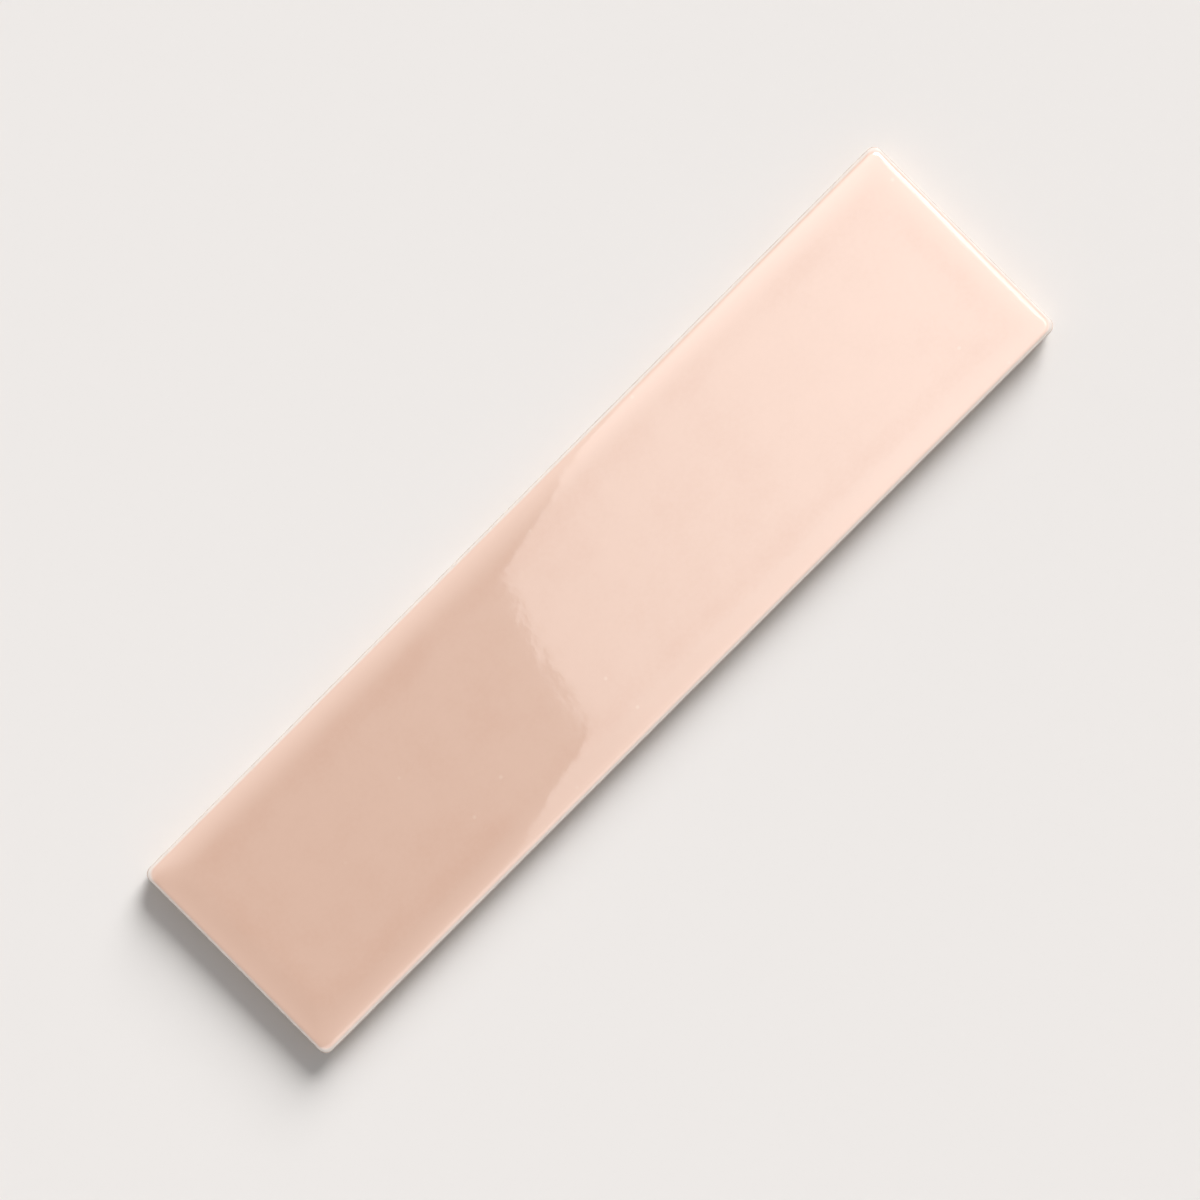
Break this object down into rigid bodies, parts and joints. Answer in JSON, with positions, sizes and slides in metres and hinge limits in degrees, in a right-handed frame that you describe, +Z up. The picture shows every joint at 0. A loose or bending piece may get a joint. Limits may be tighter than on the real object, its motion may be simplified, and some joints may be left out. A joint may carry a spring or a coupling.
{
  "type": "ceramic tile",
  "caption": "Slim rectangular glazed wall tile with a cushioned, softly undulating glossy face, rounded corners and edges, and a keyed back for adhesive.",
  "frame": {"origin": "middle of the back, on the plane that its ribs and border bear on", "axes": "+X along the length, +Y across the width, +Z up out of the glazed face"},
  "size_m": [0.3, 0.075, 0.0085],
  "materials": {
    "glaze": "gloss"
  },
  "bodies": {
    "root": {"tile": "glaze"}
  },
  "joints": []
}
